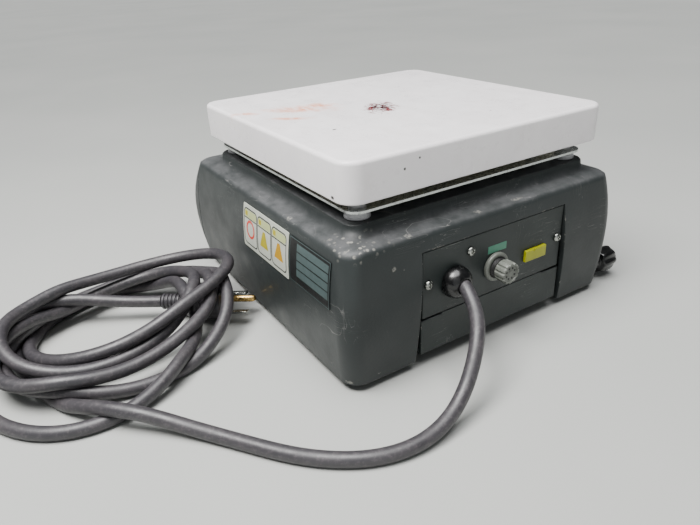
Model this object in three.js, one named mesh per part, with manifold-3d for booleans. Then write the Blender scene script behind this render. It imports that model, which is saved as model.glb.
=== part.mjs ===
// Laboratory hot plate with its mains cord, as an assembly of separate pieces.
// Millimetres, +Z up, controls towards -Y, mains inlet and fuse towards +Y.
// Pieces are placed about the centre of the top plate; the last lines move the
// whole group so that its origin is the middle of the object's resting face.
import * as THREE from 'three';
import { mergeVertices } from 'three/addons/utils/BufferGeometryUtils.js';
import Module from 'manifold-3d';

const wasm = await Module();
wasm.setup();

// ---------------------------------------------------------------- driving dimensions
const PLATE = 190;                // side of the square top plate
const TOTAL_H = 127.5;            // resting face to the top of the plate
const PLATE_DEPTH = 22.3;         // height of the plate's skirt
const PLATE_WALL = 3;
const PLATE_ROOF = 4;
const PLATE_CORNER = 11;
const SHIELD_Z = 97.2;            // underside of the heat shield
const SHIELD_T = 1.5;
const PLATEAU_Z = 92.5;           // top of the housing's raised step
const SHOULDER_Z = 84.4;          // shoulder around the raised step
const BODY_Z = 5;                 // lower rim of the housing
const BODY_HALF = 105.5;          // widest half-width of the housing
const BODY_REAR = 106;
const BODY_FRONT = 109;           // front wall at the shoulder, before its bulge
const FRONT_BULGE = 14.5;
const WALL = 3.5;
const CORNER = 11;
const REAR_FACE = 103.6;          // outer face of the rear panel and the base flange
const SHEET = 1.5;                // rear panel and base plate thickness
const BASE_Z = 8.7;               // underside of the base plate
const PANEL_HALF = 54.8;
const PANEL_LOW = 32.2;
const PANEL_HIGH = 73;
const POST_XY = 79;               // corner posts between housing and plate
const FOOT_X = 82;
const FOOT_Y = [76, -88];
const CORD_D = 7.9;
const GAP = 0.3;                  // clearance between touching pieces

// ---------------------------------------------------------------- materials
function finish(color, roughness, metalness) {
  return new THREE.MeshStandardMaterial({ color, roughness, metalness });
}
const ENAMEL = finish(0xe4e2e0, 0.3, 0);
const PAINT = finish(0x6c6c72, 0.45, 0.1);
const PANEL_PAINT = finish(0x5f6166, 0.5, 0.1);
const STEEL = finish(0xb8bab8, 0.35, 1);
const NICKEL = finish(0xcac8c0, 0.25, 1);
const BRASS = finish(0xc9a45c, 0.3, 1);
const BLACK = finish(0x141416, 0.25, 0);
const MATTE_BLACK = finish(0x1d1d1f, 0.6, 0);
const GREY_PLASTIC = finish(0xb9b9b4, 0.4, 0);
const CORD_GREY = finish(0x77777c, 0.55, 0);
const RUBBER = finish(0x202022, 0.8, 0);
const FIBRE = finish(0xd8d2c2, 0.95, 0);
const COPPER = finish(0xa8683f, 0.4, 1);
const BOARD = finish(0x2f6b3f, 0.6, 0);
const CERAMIC = finish(0xded8cc, 0.6, 0);
const YELLOW = finish(0xd8c62c, 0.45, 0);
const WHITE_LABEL = finish(0xd9dccf, 0.5, 0);
const RED_LENS = finish(0xc23a22, 0.15, 0);

// ---------------------------------------------------------------- solid helpers
function toSolid(geometry) {
  const bare = geometry.clone();
  for (const name of Object.keys(bare.attributes)) {
    if (name !== 'position') bare.deleteAttribute(name);
  }
  const merged = mergeVertices(bare, 1e-4);
  const vertProperties = new Float32Array(merged.attributes.position.array);
  const triVerts = new Uint32Array(merged.index.array);
  return new wasm.Manifold(new wasm.Mesh({ numProp: 3, vertProperties, triVerts }));
}

function toGeometry(solid) {
  const mesh = solid.getMesh();
  const geometry = new THREE.BufferGeometry();
  geometry.setAttribute('position', new THREE.BufferAttribute(new Float32Array(mesh.vertProperties), 3));
  geometry.setIndex(new THREE.BufferAttribute(new Uint32Array(mesh.triVerts), 1));
  geometry.computeVertexNormals();
  return geometry;
}

// a box given by its lowest and highest corners
function block(low, high) {
  const size = high.map((value, i) => value - low[i]);
  const geometry = new THREE.BoxGeometry(...size);
  geometry.translate(...low.map((value, i) => value + size[i] / 2));
  return toSolid(geometry);
}

// an upright cylinder from z0 to z1
function rod(x, y, z0, z1, radius, sides = 20) {
  const geometry = new THREE.CylinderGeometry(radius, radius, z1 - z0, sides);
  geometry.rotateX(Math.PI / 2);
  geometry.translate(x, y, (z0 + z1) / 2);
  return toSolid(geometry);
}

// a cylinder along +Y from y0 to y1
function rodY(x, z, y0, y1, radius, sides = 20) {
  const geometry = new THREE.CylinderGeometry(radius, radius, y1 - y0, sides);
  geometry.translate(x, (y0 + y1) / 2, z);
  return toSolid(geometry);
}

// a turned solid: profile of [radius, height] pairs, starting and ending on the axis or closed
function turned(profile, sides = 24) {
  const points = profile.map(([r, h]) => new THREE.Vector2(r, h));
  return new THREE.LatheGeometry(points, sides);
}

// the same, standing on (x, y, z) with its axis along +Z, +Y, -Y or -X
function turnedAt(profile, axis, [x, y, z], sides = 24) {
  const geometry = turned(profile, sides);
  if (axis === '+Z') geometry.rotateX(Math.PI / 2);
  if (axis === '-Y') geometry.rotateX(Math.PI);
  if (axis === '-X') geometry.rotateZ(Math.PI / 2);
  geometry.translate(x, y, z);
  return toSolid(geometry);
}

// corner points of a rounded rectangle, anticlockwise seen from above
function roundedRing({ half, rear, front, radius, z }, steps = 5) {
  const ring = [];
  const corners = [[half - radius, rear - radius, 0], [-half + radius, rear - radius, 1],
    [-half + radius, -front + radius, 2], [half - radius, -front + radius, 3]];
  for (const [x, y, quarter] of corners) {
    for (let i = 0; i <= steps; i += 1) {
      const a = (quarter + i / steps) * Math.PI / 2;
      ring.push(new THREE.Vector3(x + radius * Math.cos(a), y + radius * Math.sin(a), z));
    }
  }
  return ring;
}

// closed solid through rings of equal length, with flat end caps
function loft(rings) {
  const count = rings[0].length;
  const positions = [];
  const index = [];
  for (const ring of rings) ring.forEach((p) => positions.push(p.x, p.y, p.z));
  for (let r = 0; r + 1 < rings.length; r += 1) {
    for (let i = 0; i < count; i += 1) {
      const a = r * count + i;
      const b = r * count + (i + 1) % count;
      index.push(a, b, b + count, a, b + count, a + count);
    }
  }
  const capCentre = (ring) => ring.reduce((sum, p) => sum.add(p), new THREE.Vector3()).divideScalar(count);
  const low = capCentre(rings[0]);
  const high = capCentre(rings[rings.length - 1]);
  positions.push(low.x, low.y, low.z, high.x, high.y, high.z);
  const lowId = rings.length * count;
  const topStart = (rings.length - 1) * count;
  for (let i = 0; i < count; i += 1) {
    const next = (i + 1) % count;
    index.push(lowId, next, i);
    index.push(lowId + 1, topStart + i, topStart + next);
  }
  const geometry = new THREE.BufferGeometry();
  geometry.setAttribute('position', new THREE.Float32BufferAttribute(positions, 3));
  geometry.setIndex(index);
  return toSolid(geometry);
}

function roundedSlab(half, radius, z0, z1) {
  const ring = (z) => roundedRing({ half, rear: half, front: half, radius, z });
  return loft([ring(z0), ring(z1)]);
}

// outline in the YZ plane pushed along X from x0 to x1
function slabX(outline, x0, x1) {
  const shape = new THREE.Shape(outline.map(([y, z]) => new THREE.Vector2(y, z)));
  const geometry = new THREE.ExtrudeGeometry(shape, { depth: x1 - x0, bevelEnabled: false });
  geometry.applyMatrix4(new THREE.Matrix4().set(0, 0, 1, x0, 1, 0, 0, 0, 0, 1, 0, 0, 0, 0, 0, 1));
  return toSolid(geometry);
}

// a round tube along a smooth path
function tube(path, radius, steps, sides) {
  const section = new THREE.Shape();
  for (let i = 0; i < sides; i += 1) {
    const a = (i / sides) * 2 * Math.PI;
    const point = [radius * Math.cos(a), radius * Math.sin(a)];
    if (i === 0) section.moveTo(...point);
    else section.lineTo(...point);
  }
  section.closePath();
  return toSolid(new THREE.ExtrudeGeometry(section, { steps, extrudePath: path, bevelEnabled: false }));
}

function smoothPath(points) {
  return new THREE.CatmullRomCurve3(points.map((p) => new THREE.Vector3(...p)), false, 'centripetal');
}

const model = new THREE.Group();
function add(name, solid, material) {
  const mesh = new THREE.Mesh(toGeometry(solid), material);
  mesh.name = name;
  model.add(mesh);
}

// ---------------------------------------------------------------- housing shape
// the walls bow out a little between the lower rim and the shoulder
function bow(z) {
  const middle = 46;
  if (z < middle) return 2.6 * ((middle - z) / 40) ** 2;
  return 4.4 * ((z - middle) / 38) ** 2;
}

function frontWall(z) {
  const rise = (z - BODY_Z) / (SHOULDER_Z - BODY_Z);
  return BODY_FRONT + 4 * (1 - rise) + FRONT_BULGE * Math.sin(Math.PI * rise);
}

function wallRing(z, offset) {
  return roundedRing({
    half: BODY_HALF - bow(z) + offset,
    rear: BODY_REAR - 0.9 * bow(z) + offset,
    front: frontWall(z) + offset,
    radius: CORNER + offset,
    z,
  }, 8);
}

const WALL_LEVELS = [5, 10, 16, 23, 31, 39, 47, 55, 62, 69, 75, 80];

function housingOuter() {
  const rings = WALL_LEVELS.map((z) => wallRing(z, 0));
  // rolled edge of the shoulder, shoulder, foot and top of the raised step
  const steps = [[82.6, 101.2, 102.2, 110.6, 11], [83.9, 99.6, 100.6, 109, 11], [84.6, 97, 98, 106.6, 10],
    [85.7, 90.6, 90.6, 90.6, 9], [91.6, 89.9, 89.9, 89.9, 9], [92.5, 88.9, 88.9, 88.9, 8]];
  for (const [z, half, rear, front, radius] of steps) {
    rings.push(roundedRing({ half, rear, front, radius, z }, 8));
  }
  return loft(rings);
}

function housingInner() {
  const below = wallRing(BODY_Z, -WALL).map((p) => p.setZ(BODY_Z - 2));
  const rings = [below, ...[5, 25, 46, 64, 80].map((z) => wallRing(z, -WALL))];
  const top = wallRing(80, -WALL - 1).map((p) => p.setZ(81.2));
  rings.push(top);
  const step = (z) => roundedRing({ half: 86.4, rear: 86.4, front: 86.4, radius: 6, z }, 8);
  return loft(rings).add(loft([step(81), step(89)]));
}

// seam between the housing and the front bezel: a plane leaning forward at its foot
const SEAM_LOW = -112;
const SEAM_HIGH = -103;
const BEZEL_LOW = 7.5;
const BEZEL_HIGH = 79;
function frontRegion(shift, low, high) {
  return slabX([[SEAM_LOW + shift, low], [SEAM_HIGH + shift, high], [-150, high], [-150, low]], -120, 120);
}

// notch in the rear wall, wider at the foot
function rearNotch() {
  const top = PANEL_HIGH + 0.5;
  const rings = [-4, top].map((z) => {
    const half = z < 0 ? 60 : PANEL_HALF + 0.7;
    return [[half, 90], [half, 112], [-half, 112], [-half, 90]].map(([x, y]) => new THREE.Vector3(x, y, z));
  });
  return loft(rings);
}

function fourCorners(build) {
  for (const [i, [sx, sy]] of [[1, 1], [-1, 1], [-1, -1], [1, -1]].entries()) build(sx, sy, i + 1);
}

const CLAMP = { y: 91.5, z: 11.8 };
const GLAND = { x: 32.6, z: 49.6 };
const FUSE = { x: 1.2, z: 49 };
const REAR_SCREWS = [[51.2, 53], [21, 64.4], [-51.2, 52.6]];

function buildHousing() {
  let body = housingOuter().subtract(housingInner());
  body = body.subtract(frontRegion(0, BODY_Z - 5, BEZEL_HIGH + GAP));
  body = body.subtract(rearNotch());
  const core = housingOuter();
  fourCorners((sx, sy) => {
    const y = sy > 0 ? FOOT_Y[0] : FOOT_Y[1];
    const post = rod(sx * FOOT_X, y, BASE_Z + SHEET + GAP, 84, 6.5);
    const rib = block([Math.min(sx * FOOT_X, sx * 103), y - 2, BASE_Z + SHEET + GAP],
      [Math.max(sx * FOOT_X, sx * 103), y + 2, 80]);
    body = body.add(post.add(rib).intersect(core));
    body = body.subtract(rod(sx * FOOT_X, y, 0, 30, 2.3, 12));
    body = body.subtract(rod(sx * POST_XY, sy * POST_XY, 80, 95, 2.7, 12));
  });
  // lugs behind the rear panel for its two edge screws
  for (const side of [1, -1]) {
    const lug = block([side > 0 ? 44 : -64, 94, 46], [side > 0 ? 64 : -44, REAR_FACE - SHEET - GAP, 60]);
    const root = block([side > 0 ? 58 : -64, 94, 46], [side > 0 ? 64 : -58, 104.5, 60]);
    body = body.add(lug.add(root.subtract(rearNotch())));
  }
  for (const [x, z] of REAR_SCREWS) body = body.subtract(rodY(x, z, 92, 104, 1.7, 12));
  // cold ends of the heater, and the side thumbscrew
  for (const y of [HEATER_Y, -HEATER_Y]) body = body.subtract(rod(-HEATER_X, y, 80, 95, 5, 12));
  body = body.subtract(rod(SENSOR.x, SENSOR.y, 80, 95, 3.6, 12));
  body = body.subtract(turnedAt([[0, -2], [3.6, -2], [3.6, 14], [0, 14]], '-X', [-95, CLAMP.y, CLAMP.z], 16));
  add('housing', body, PAINT);
}

function buildFrontBezel() {
  let bezel = housingOuter().intersect(frontRegion(-GAP, BEZEL_LOW, BEZEL_HIGH));
  bezel = bezel.subtract(block([-96, -115, 11.5], [96, -90, 75]));
  bezel = bezel.subtract(block([-72, -150, 17], [72, POCKET_Y, 67]));
  bezel = bezel.subtract(rodY(KNOB.x, KNOB.z, -130, -100, 5.4, 16));
  bezel = bezel.subtract(rodY(LAMP.x, LAMP.z, -130, -100, 4.4, 16));
  bezel = bezel.subtract(rockerOpening());
  add('front_bezel', bezel, PAINT);
}

// ---------------------------------------------------------------- top plate and heater
const HEATER_X = 70;
const HEATER_Y = 62.5;
const HEATER_D = 6.5;
const PAN_Z = TOTAL_H - PLATE_DEPTH;

function buildTopPlate() {
  const edge = 2.4;
  const ring = (inset, z, radius) => {
    const half = PLATE / 2 - inset;
    return roundedRing({ half, rear: half, front: half, radius, z }, 12);
  };
  const rings = [ring(0.6, PAN_Z, PLATE_CORNER - 0.6), ring(0, PAN_Z + 0.8, PLATE_CORNER)];
  for (let i = 0; i <= 6; i += 1) {
    const a = (i / 6) * Math.PI / 2;
    const inset = edge * (1 - Math.cos(a));
    rings.push(ring(inset, TOTAL_H - edge + edge * Math.sin(a), PLATE_CORNER - inset));
  }
  const cavity = loft([ring(PLATE_WALL, PAN_Z - 5, 8), ring(PLATE_WALL, TOTAL_H - PLATE_ROOF, 8)]);
  let plate = loft(rings).subtract(cavity);
  fourCorners((sx, sy) => {
    plate = plate.add(rod(sx * POST_XY, sy * POST_XY, PAN_Z + 1.4, TOTAL_H - 2, 7));
    plate = plate.subtract(rod(sx * POST_XY, sy * POST_XY, PAN_Z, TOTAL_H - 6, 2.4, 12));
  });
  add('top_plate', plate, ENAMEL);
}

// sheathed heater: six straight runs joined by half circles, both ends turned down
function buildHeater() {
  const top = TOTAL_H - PLATE_ROOF - GAP - HEATER_D / 2;
  const pitch = 2 * HEATER_Y / 5;
  const turn = 52;
  const points = [[-HEATER_X, -HEATER_Y, 84], [-HEATER_X, -HEATER_Y, 104], [-HEATER_X + 0.6, -HEATER_Y, 113],
    [-HEATER_X + 7, -HEATER_Y, top - 1], [-HEATER_X + 14, -HEATER_Y, top]];
  for (let run = 0; run < 6; run += 1) {
    const y = -HEATER_Y + run * pitch;
    const way = run % 2 === 0 ? 1 : -1;
    if (run > 0) points.push([-way * turn, y, top]);
    if (run < 5) {
      points.push([way * turn, y, top]);
      points.push([way * (turn + pitch * 0.42), y + pitch * 0.2, top]);
      points.push([way * (turn + pitch * 0.42), y + pitch * 0.8, top]);
    }
  }
  points.push([-HEATER_X + 14, HEATER_Y, top], [-HEATER_X + 7, HEATER_Y, top - 1]);
  points.push([-HEATER_X + 0.6, HEATER_Y, 113], [-HEATER_X, HEATER_Y, 104], [-HEATER_X, HEATER_Y, 84]);
  add('heater_element', tube(smoothPath(points), HEATER_D / 2, 84, 6), STEEL);

  const plateTop = top - HEATER_D / 2 - GAP;
  const clampRing = (z) => roundedRing({ half: 55, rear: 69, front: 69, radius: 6, z });
  add('heater_clamp_plate', loft([clampRing(plateTop - 2), clampRing(plateTop)]), STEEL);
  let pad = roundedSlab(90, 7, PAN_Z + 1.8, plateTop - 2 - GAP);
  fourCorners((sx, sy) => {
    pad = pad.subtract(rod(sx * POST_XY, sy * POST_XY, 90, 130, 7.6));
  });
  for (const y of [HEATER_Y, -HEATER_Y]) {
    pad = pad.subtract(block([-HEATER_X - 5.5, y - 5, 90], [-HEATER_X + 11, y + 5, 130]));
  }
  pad = pad.subtract(rod(SENSOR.x, SENSOR.y, 90, 130, 3.4, 12));
  add('insulation_pad', pad, FIBRE);
}

const SENSOR = { x: 72, y: 0 };
function buildSensor() {
  const tip = TOTAL_H - PLATE_ROOF - GAP;
  const probe = turnedAt([[0, 0], [2.4, 0], [2.4, 30], [3, 30], [3, tip - 87], [0, tip - 87]], '+Z',
    [SENSOR.x, SENSOR.y, 87], 16);
  add('plate_sensor', probe, STEEL);
}

function buildShield() {
  let shield = roundedSlab(88, 8, SHIELD_Z, SHIELD_Z + SHIELD_T);
  fourCorners((sx, sy) => {
    shield = shield.subtract(rod(sx * POST_XY, sy * POST_XY, 90, 105, 5.2, 16));
  });
  for (const y of [HEATER_Y, -HEATER_Y]) shield = shield.subtract(rod(-HEATER_X, y, 90, 105, 4.4, 12));
  shield = shield.subtract(rod(SENSOR.x, SENSOR.y, 90, 105, 3.4, 12));
  add('heat_shield', shield, STEEL);
}

// corner posts: wide under the shield, narrow through it, bored for the tie screws
function buildPosts() {
  fourCorners((sx, sy, n) => {
    const foot = PLATEAU_Z + GAP;
    const step = SHIELD_Z - GAP;
    const head = PAN_Z + 1.4 - GAP;
    const profile = [[2.7, foot], [7.2, foot], [7.2, step], [4.9, step], [4.9, head], [2.7, head],
      [2.7, foot]];
    add(`standoff_${n}`, turnedAt(profile, '+Z', [sx * POST_XY, sy * POST_XY, 0], 20), CERAMIC);
    const screw = [[0, 84.8], [4.4, 84.8], [4.4, 88.7], [2.1, 88.7], [2.1, 119], [0, 119]];
    add(`tie_screw_${n}`, turnedAt(screw, '+Z', [sx * POST_XY, sy * POST_XY, 0], 12), STEEL);
  });
}

// ---------------------------------------------------------------- base, feet and rear panel
function buildBase() {
  const inset = WALL + 1.2;
  const rings = [BASE_Z, BASE_Z + SHEET].map((z) => roundedRing({
    half: BODY_HALF - bow(z) - inset,
    rear: REAR_FACE - SHEET,
    front: 108,
    radius: 6,
    z,
  }));
  let base = loft(rings);
  base = base.subtract(block([-120, 92, 0], [-56.2, 120, 20])).subtract(block([56.2, 92, 0], [120, 120, 20]));
  base = base.subtract(block([-120, 86.5, 0], [-82, 120, 20]));
  base = base.add(block([-55.6, REAR_FACE - SHEET, BASE_Z], [55.6, REAR_FACE, PANEL_LOW - 0.6]));
  // corners of the flange are nicked beside the panel's tabs
  for (const side of [1, -1]) {
    const inner = Math.min(side * 40.5, side * 60);
    base = base.subtract(block([inner, 100, PANEL_LOW - 1.7], [inner + 19.5, 106, PANEL_LOW + 1]));
  }
  fourCorners((sx, sy) => {
    const y = sy > 0 ? FOOT_Y[0] : FOOT_Y[1];
    base = base.subtract(rod(sx * FOOT_X, y, 0, 20, 2.6, 12));
  });
  add('base_plate', base, PANEL_PAINT);
}

function buildFeet() {
  fourCorners((sx, sy, n) => {
    const y = sy > 0 ? FOOT_Y[0] : FOOT_Y[1];
    const top = BASE_Z - GAP;
    const foot = [[2.5, 4.6], [5.4, 4.6], [5.4, 0], [8.2, 0], [9.4, 1.2], [8.6, top], [2.5, top], [2.5, 4.6]];
    add(`foot_${n}`, turnedAt(foot, '+Z', [sx * FOOT_X, y, 0], 20), RUBBER);
    const screw = [[0, 1.9], [4, 1.9], [4.3, 4.3], [1.9, 4.3], [1.9, 27], [0, 27]];
    add(`foot_screw_${n}`, turnedAt(screw, '+Z', [sx * FOOT_X, y, 0], 12), STEEL);
  });
}

function buildRearPanel() {
  let panel = block([-PANEL_HALF, REAR_FACE - SHEET, PANEL_LOW], [PANEL_HALF, REAR_FACE, PANEL_HIGH]);
  panel = panel.subtract(rodY(GLAND.x, GLAND.z, 90, 110, 7.3));
  panel = panel.subtract(rodY(FUSE.x, FUSE.z, 90, 110, 6.7));
  for (const [x, z] of REAR_SCREWS) panel = panel.subtract(rodY(x, z, 90, 110, 2.1, 12));
  add('rear_panel', panel, PANEL_PAINT);
  REAR_SCREWS.forEach(([x, z], i) => {
    const y = REAR_FACE + 0.2;
    const profile = [[0, -8.6], [1.5, -8], [1.5, 0], [2.7, 0], [2.7, 0.8], [2.3, 1.6], [1.3, 2.1], [0, 2.2]];
    let screw = turnedAt(profile, '+Y', [x, y, z], 20);
    for (const [w, h] of [[0.35, 1.4], [1.4, 0.35]]) {
      screw = screw.subtract(block([x - w, y + 1, z - h], [x + w, y + 4, z + h]));
    }
    add(`rear_screw_${i + 1}`, screw, NICKEL);
  });
  add('earth_terminal', turnedAt([[1.9, -7.2], [4, -7.2], [4, -4.4], [5.6, -4.4], [5.6, -3.2], [1.9, -3.2],
    [1.9, -7.2]], '+Y', [REAR_SCREWS[1][0], REAR_FACE + 1.4, REAR_SCREWS[1][1]], 6), BRASS);
}

// ---------------------------------------------------------------- fittings on the rear panel
function buildGland() {
  const y = REAR_FACE + GAP;
  const profile = [[0, -17], [5.4, -17], [6.6, -12], [6.9, 0], [9.3, 0], [9.5, 1.4], [9.2, 3.6], [8.3, 5.8],
    [6.8, 7.6], [5.2, 8.8], [0, 9.1]];
  add('cable_gland', turnedAt(profile, '+Y', [GLAND.x, y, GLAND.z], 28), BLACK);
}

function buildFuse() {
  const { x, z } = FUSE;
  const holder = [[0, -46], [3, -46], [3.4, -38], [6.2, -36], [6.2, -8], [8.6, -8], [8.6, -1.9], [6.3, -1.9],
    [6.3, 5.2], [4.5, 5.2], [4.5, -33], [0, -33]];
  add('fuse_holder', turnedAt(holder, '+Y', [x, REAR_FACE, z], 20), MATTE_BLACK);
  const nut = [[6.7, GAP], [8.8, GAP], [8.8, 1.6], [8.1, 2.7], [6.7, 2.7], [6.7, GAP]];
  add('fuse_nut', turnedAt(nut, '+Y', [x, REAR_FACE, z], 24), GREY_PLASTIC);
  const link = [[0, -32], [3.2, -32], [3.2, -1.2], [0, -1.2]];
  add('fuse_link', turnedAt(link, '+Y', [x, REAR_FACE, z], 12), GREY_PLASTIC);
  let cap = turnedAt([[0, -0.8], [3.9, -0.8], [3.9, 5.5], [6.6, 5.5], [6.6, 12.4], [5.9, 13.3], [4.8, 13.3],
    [4.6, 12.6], [0, 12.6]], '+Y', [x, REAR_FACE, z], 24);
  for (let i = 0; i < 12; i += 1) {
    const a = (i / 12) * 2 * Math.PI;
    cap = cap.subtract(rodY(x + 7.25 * Math.cos(a), z + 7.25 * Math.sin(a), REAR_FACE + 6.6, 130, 1, 6));
  }
  add('fuse_cap', cap, GREY_PLASTIC);
}

function buildRearTags() {
  const y = REAR_FACE + 0.15;
  const tag = { x0: -40.2, x1: -22.8, z0: 44.2, z1: 51.4 };
  const bevel = (inset, depth) => [[tag.x0 + inset, tag.z0 + inset], [tag.x0 + inset, tag.z1 - inset],
    [tag.x1 - inset, tag.z1 - inset], [tag.x1 - inset, tag.z0 + inset]]
    .map(([px, pz]) => new THREE.Vector3(px, y + depth, pz));
  add('fuse_tag', loft([bevel(0, 0), bevel(0, 1.7), bevel(0.5, 2.2)]), YELLOW);
}

// thin curved labels that follow the bowed side wall
function buildSideLabels() {
  const rings = (offset) => loft([31, 39, 47, 55, 62, 69, 75, 80].map((z) => wallRing(z, offset)));
  const film = rings(0.6).subtract(rings(0.25));
  add('safety_label', film.intersect(block([90, -18, 49], [120, 44.8, 77.6])), WHITE_LABEL);
  add('data_plate', film.intersect(block([90, 46.4, 50.6], [120, 90.8, 77.2])), MATTE_BLACK);
}

// ---------------------------------------------------------------- side thumbscrew
function buildClamp() {
  const { y, z } = CLAMP;
  const at = [-BODY_HALF + 2.4, y, z];
  const shank = [[0, -16], [1.6, -16], [1.6, -14], [2.4, -14], [2.4, 8], [0, 8]];
  add('clamp_screw', turnedAt(shank, '-X', at, 16), STEEL);
  const pad = [[0, -19], [3.2, -19], [3.2, -14.4], [1.9, -14.4], [1.9, -16.5], [0, -16.5]];
  add('clamp_pad', turnedAt(pad, '-X', at, 16), GREY_PLASTIC);
  const knob = [[2.7, 1.7], [5.2, 1.7], [5.2, 9], [8.6, 10.5], [9.2, 12.5], [9.2, 20], [8.4, 23], [6, 25],
    [0, 25.6], [0, 8.3], [2.7, 8.3], [2.7, 1.7]];
  add('clamp_knob', turnedAt(knob, '-X', at, 20), BLACK);
}

// ---------------------------------------------------------------- front controls
const POCKET_Y = -118.5;
const PANEL_Y = -119.9;
const KNOB = { x: 38, z: 42 };
const LAMP = { x: -4, z: 42 };
const ROCKER = { x: -42, z: 42 };

function rockerOpening() {
  return block([ROCKER.x - 9.6, -130, ROCKER.z - 14.4], [ROCKER.x + 9.6, -100, ROCKER.z + 14.4]);
}

function buildFrontPanel() {
  let panel = block([-71.6, PANEL_Y, 17.4], [71.6, POCKET_Y - GAP, 66.6]);
  panel = panel.subtract(rodY(KNOB.x, KNOB.z, -130, -100, 5.4, 16));
  panel = panel.subtract(rodY(LAMP.x, LAMP.z, -130, -100, 4.4, 16));
  panel = panel.subtract(rockerOpening());
  add('control_panel', panel, MATTE_BLACK);
}

function buildTemperatureControl() {
  const { x, z } = KNOB;
  const at = [x, PANEL_Y, z];
  const profile = [[3.3, 0.6], [18.5, 0.6], [19, 1.4], [19, 4], [17, 5.4], [16, 15.4], [15, 16.6], [0, 16.6],
    [0, 11.3], [3.3, 11.3], [3.3, 0.6]];
  let knob = turnedAt(profile, '-Y', at, 32);
  knob = knob.subtract(block([x - 0.7, PANEL_Y - 18, z + 4], [x + 0.7, PANEL_Y - 16, z + 17]));
  add('temperature_knob', knob, BLACK);
  const shaft = [[0, -13], [3, -13], [3, 11], [0, 11]];
  add('thermostat_shaft', turnedAt(shaft, '-Y', at, 16), STEEL);
  let body = block([x - 17, -100, z - 15], [x + 17, -78, z + 15]);
  body = body.add(rodY(x, z, -114.5, -99, 5, 16));
  body = body.subtract(rodY(x, z, -120, -104, 3.3, 16));
  add('thermostat_body', body, CERAMIC);
}

function buildLamp() {
  const at = [LAMP.x, PANEL_Y, LAMP.z];
  const lens = [[0, -14], [3.4, -14], [4, -12], [4, 1.8], [3.5, 3], [2, 4], [0, 4.3]];
  add('lamp_lens', turnedAt(lens, '-Y', at, 20), RED_LENS);
}

// rocker in its frame; every point of it stays inside radius REACH of the pivot
const ROCKER_PIVOT_Y = PANEL_Y - 0.4;
const ROCKER_REST = -10 * Math.PI / 180;
function buildRocker() {
  const { x, z } = ROCKER;
  let frame = block([x - 9.2, PANEL_Y + 0.2, z - 14], [x + 9.2, PANEL_Y + 22, z + 14]);
  frame = frame.add(block([x - 11.5, PANEL_Y - 2.1, z - 16.5], [x + 11.5, PANEL_Y - GAP, z + 16.5]));
  frame = frame.add(block([x - 9.2, PANEL_Y - 1, z - 14], [x + 9.2, PANEL_Y + 1, z + 14]));
  frame = frame.subtract(block([x - 7.6, -130, z - 12.2], [x + 7.6, PANEL_Y + 13, z + 12.2]));
  add('switch_body', frame, MATTE_BLACK);
  const outline = [];
  const reach = 11.4;
  for (let i = 0; i <= 12; i += 1) {
    const a = (i / 12) * Math.PI;
    outline.push([reach * Math.sin(a), -reach * Math.cos(a)]);
  }
  outline.push([-3.2, 10.9], [-1.9, 0], [-3.2, -10.9]);
  const cos = Math.cos(ROCKER_REST);
  const sin = Math.sin(ROCKER_REST);
  const placed = outline.map(([y, h]) => [ROCKER_PIVOT_Y + y * cos - h * sin, z + y * sin + h * cos]);
  add('power_rocker', slabX(placed, x - 7.2, x + 7.2), BLACK);
}

// ---------------------------------------------------------------- electrical parts inside
function buildInternals() {
  const floor = BASE_Z + SHEET + GAP;
  let transformer = block([-76, -60, floor], [-32, -22, floor + 36]);
  transformer = transformer.add(block([-70, -67, floor + 7], [-38, -15, floor + 29]));
  add('transformer', transformer, COPPER);

  const board = floor + 7;
  let control = block([-10, -70, board], [78, 2, board + 1.6]);
  control = control.add(block([0, -60, board], [20, -40, board + 14]));
  control = control.add(block([30, -62, board], [48, -34, board + 17]));
  control = control.add(block([56, -24, board], [74, -10, board + 10]));
  control = control.add(rod(12, -20, board, board + 20, 7, 12));
  for (const [px, py] of [[-6, -66], [74, -66], [-6, -2], [74, -2]]) {
    control = control.add(rod(px, py, floor, board + 1, 2.6, 8));
  }
  add('control_board', control, BOARD);

  let sink = block([-30, 20, floor], [30, 60, floor + 4]);
  for (let i = 0; i < 6; i += 1) {
    sink = sink.add(block([-28 + i * 10.4, 20, floor], [-26 + i * 10.4, 60, floor + 22]));
  }
  add('heat_sink', sink, STEEL);

  let strip = block([44, 40, floor], [68, 84, floor + 16]);
  for (let i = 0; i < 3; i += 1) strip = strip.subtract(rod(56, 49 + i * 13, floor + 8, 60, 3.6, 12));
  add('terminal_block', strip, CERAMIC);
  add('overheat_cutout', turnedAt([[0, 76], [7, 76], [8, 80.2], [8, 88.6], [0, 88.6]], '+Z', [10, 10, 0], 16),
    BLACK);
}

// ---------------------------------------------------------------- mains cord and plug
// Route of the free cord from the gland's nose to the loose coil, and from the coil to the plug.
const LEAD = [[32.6, 113.3, 49.6], [32.7, 116.6, 49.2], [33.8, 121.8, 47.2], [36.4, 127.4, 43.4],
  [41.2, 133, 37.6], [47.8, 139.2, 30], [56.2, 144.8, 21.2], [66.4, 149.6, 13.2], [78.4, 153.2, 7.4],
  [91, 155, 4.9], [104.6, 154.4, 4.2], [118, 150.6, 4.1], [130, 144, 4.1], [141.5, 134.8, 4.1],
  [151, 125, 4.1], [160, 113, 4.1], [168, 102, 4.2], [176.6, 90.6, 4.6], [186.6, 79, 6.4],
  [196, 69, 9.4], [206, 59.4, 11.6], [216, 49.4, 12]];
const TAIL = [[220, -74.5, 20.5], [204, -68, 17.4], [190, -61, 14.6], [178, -53, 13.6], [169.6, -47.1, 13.4],
  [161.7, -41.5, 13.4]];
const COIL = { x: 199, y: -29, halfX: 91, halfY: 89, band: 45, height: 46 };
const PLUG = { x: 127.1, y: -16.8, z: 13.4, heading: 2.522, roll: -0.3 };
const BLADE = { length: 17.6, width: 6.35, thickness: 1.5, spacing: 12.7 };
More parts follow.
